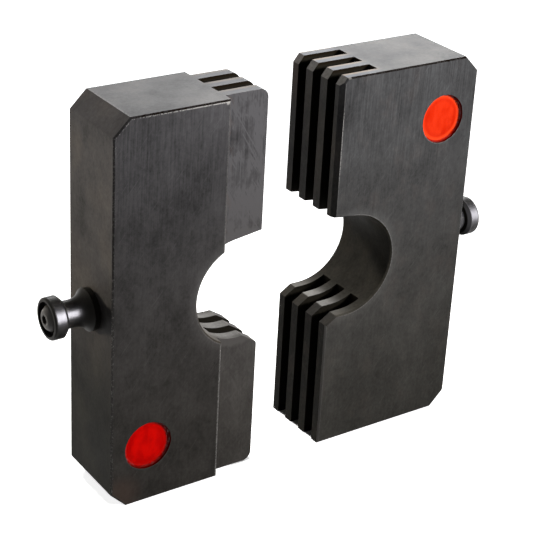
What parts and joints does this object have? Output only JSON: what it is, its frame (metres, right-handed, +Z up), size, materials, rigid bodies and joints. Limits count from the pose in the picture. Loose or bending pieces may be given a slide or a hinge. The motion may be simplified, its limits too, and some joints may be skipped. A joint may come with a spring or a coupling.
{
  "type": "crimp die",
  "caption": "Two-half crimping die of blackened steel with interleaving comb jaws, half-round bores, spool-shaped retaining studs and red colour marks.",
  "frame": {"origin": "on the ground, midway between the two back faces, in the middle of the thickness", "axes": "+X is the closing direction, from the inner half to the outer half; +Y is the axis of the crimping bore; +Z is up"},
  "size_m": [0.1514, 0.025, 0.12],
  "materials": {
    "blackened_steel": "ground tool steel, blackened in hot oxide, satin with faint grinding lines and bright worn edges",
    "stud_steel": "turned steel, blackened and oiled, semi-gloss",
    "screw_steel": "blackened alloy steel, satin",
    "red_enamel": "glossy red enamel"
  },
  "bodies": {
    "inner_half": {"inner_die": "blackened_steel", "inner_stud": "stud_steel", "inner_stud_screw": "screw_steel", "inner_colour_mark": "red_enamel"},
    "outer_half": {"outer_die": "blackened_steel", "outer_stud": "stud_steel", "outer_stud_screw": "screw_steel", "outer_colour_mark": "red_enamel"}
  },
  "joints": [
    {"name": "closing_stroke", "type": "slide", "parent": "inner_half", "child": "outer_half", "axis": [-1, 0, 0], "range_m": [0, 0.0366]}
  ]
}
